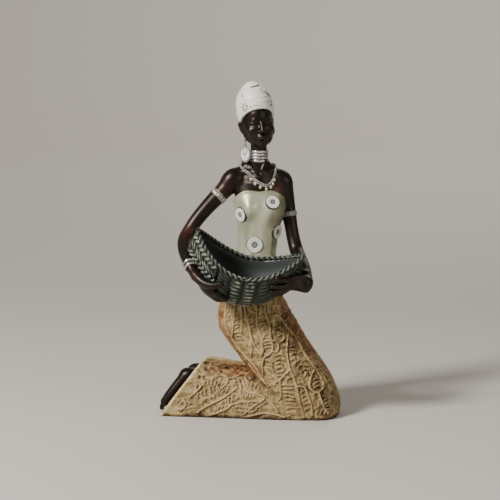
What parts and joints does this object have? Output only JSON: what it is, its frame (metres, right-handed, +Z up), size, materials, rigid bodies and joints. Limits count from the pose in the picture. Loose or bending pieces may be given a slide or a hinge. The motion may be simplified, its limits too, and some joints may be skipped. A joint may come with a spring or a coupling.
{
  "type": "resin statuette of a kneeling woman with a basket",
  "caption": "Kneeling woman in a head wrap, strapless bodice and veined skirt, holding an open boat-shaped basket on her lap; stands by its own weight.",
  "frame": {"origin": "under the middle of the piece, on the surface that it stands on", "axes": "+Z up; the display side faces -Y; the knees point along +X, turned a little towards -Y"},
  "size_m": [0.1502, 0.1056, 0.2686],
  "materials": {
    "statuette": "painted cast resin, dark glossy skin",
    "earring": "polished silver-coloured metal, slightly tarnished",
    "skirt": "cast resin, matt tan paint with ochre wash and cream ridges",
    "bodice": "cast resin, metallic pale green paint, satin",
    "head_wrap": "cast resin, off-white paint, satin",
    "basket": "cast resin, dark green paint with pale green dry brushing",
    "silver_paint": "cast resin, silver paint, worn"
  },
  "bodies": {
    "root": {"statuette": "statuette", "earring": "earring"}
  },
  "joints": []
}
